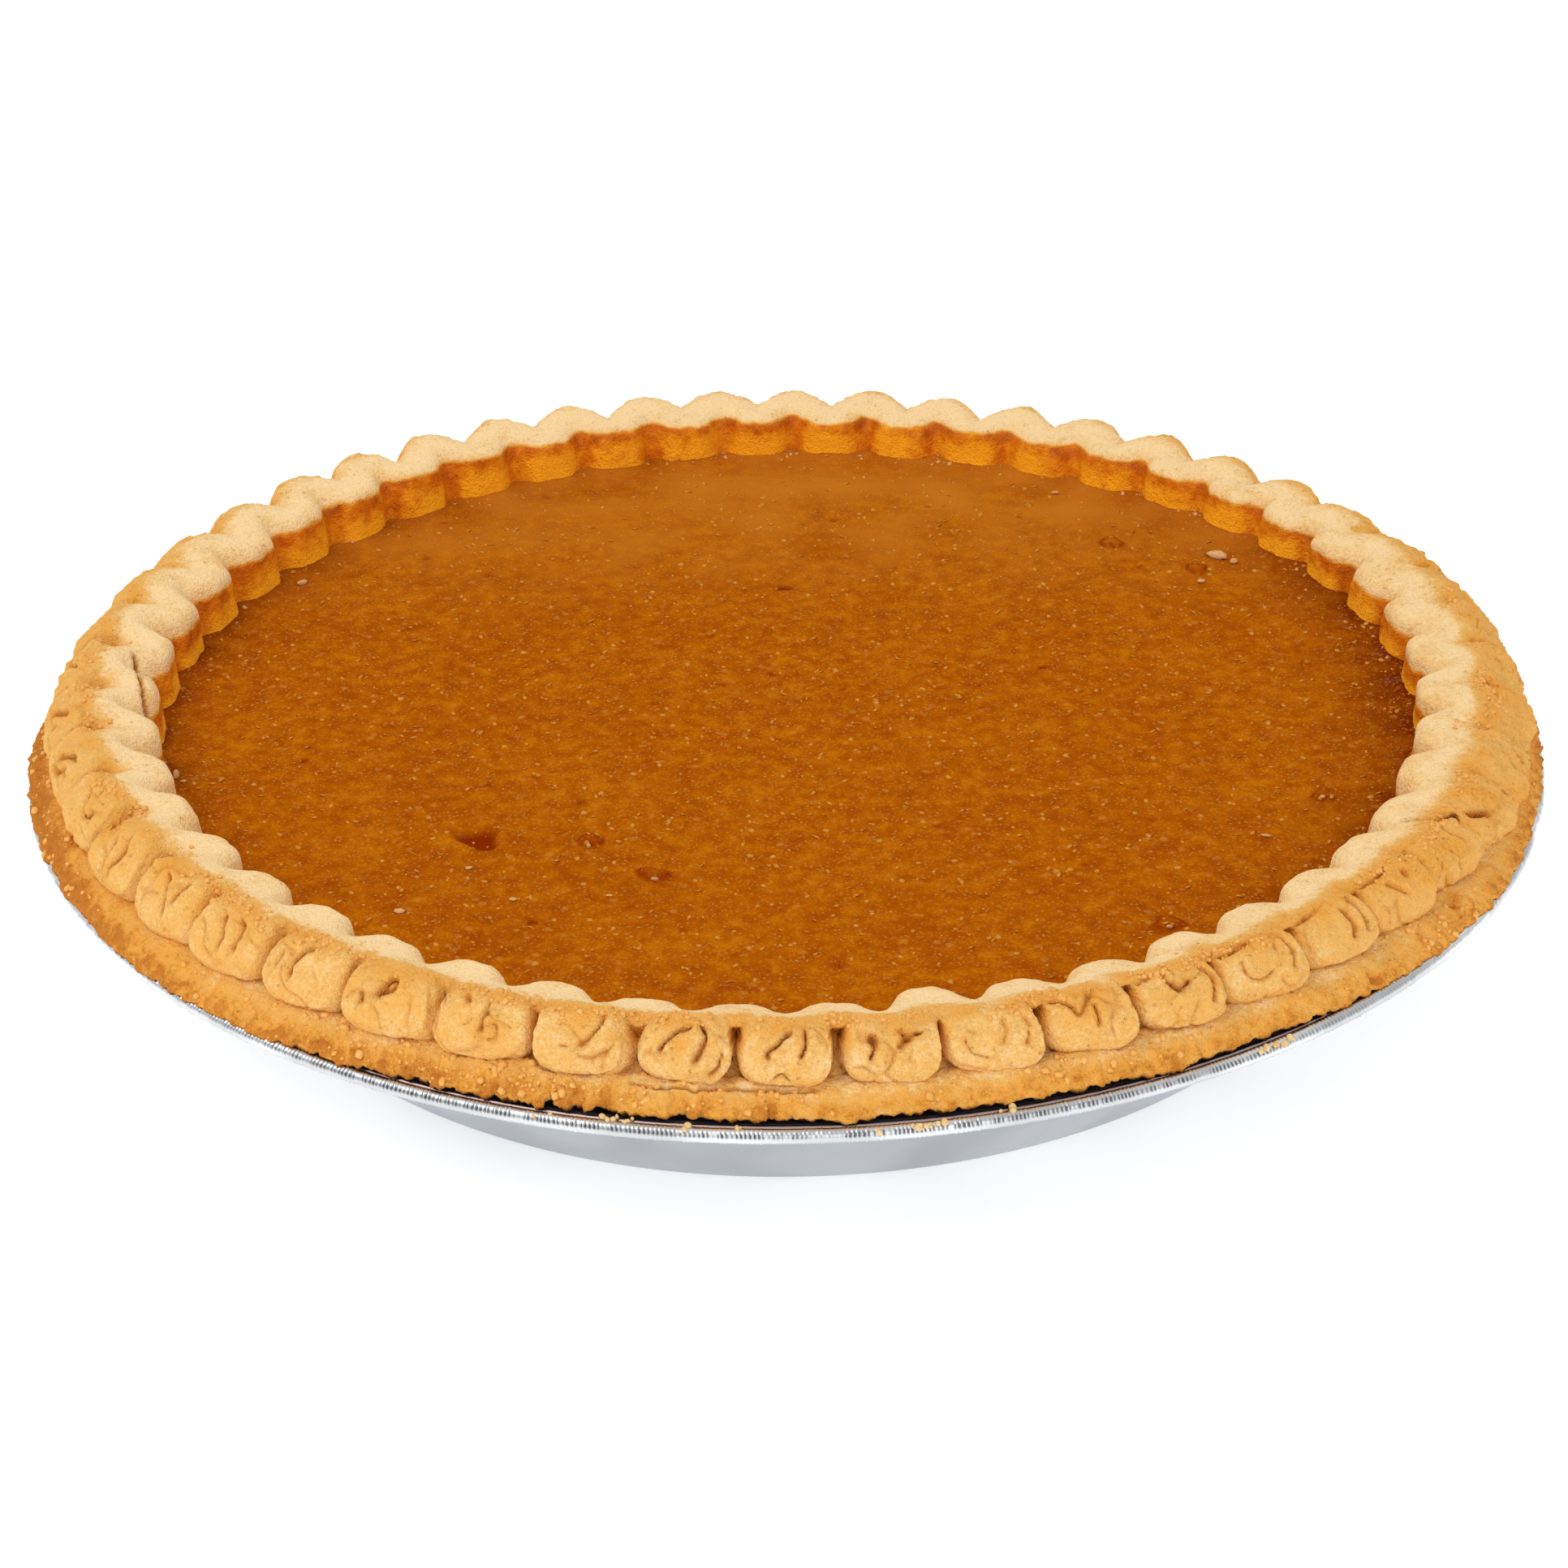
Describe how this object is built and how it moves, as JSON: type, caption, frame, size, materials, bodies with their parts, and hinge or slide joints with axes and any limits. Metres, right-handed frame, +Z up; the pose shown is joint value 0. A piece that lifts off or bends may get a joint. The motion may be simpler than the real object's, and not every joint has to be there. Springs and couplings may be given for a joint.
{
  "type": "pumpkin pie",
  "caption": "Round baked custard pie with a thumb-fluted pastry rim, standing in its own sloping foil tin with a rolled edge.",
  "frame": {"origin": "middle of the tin's flat base, on the surface it stands on", "axes": "+Z up through the middle of the pie, -Y towards the viewer with a pad's middle on it, +X to the viewer's right"},
  "size_m": [0.254, 0.254, 0.0445],
  "materials": {
    "foil": "pressed light foil, satin side and base, bright crimped rolled edge",
    "pastry": "baked shortcrust pastry: pale cream crest, golden pads, browned ridges, matt and finely pitted",
    "custard": "set pumpkin custard: orange-brown, semi-gloss, with many tiny light specks and a few small pits"
  },
  "bodies": {
    "root": {"foil_tin": "foil", "crust": "pastry", "filling": "custard"}
  },
  "joints": []
}
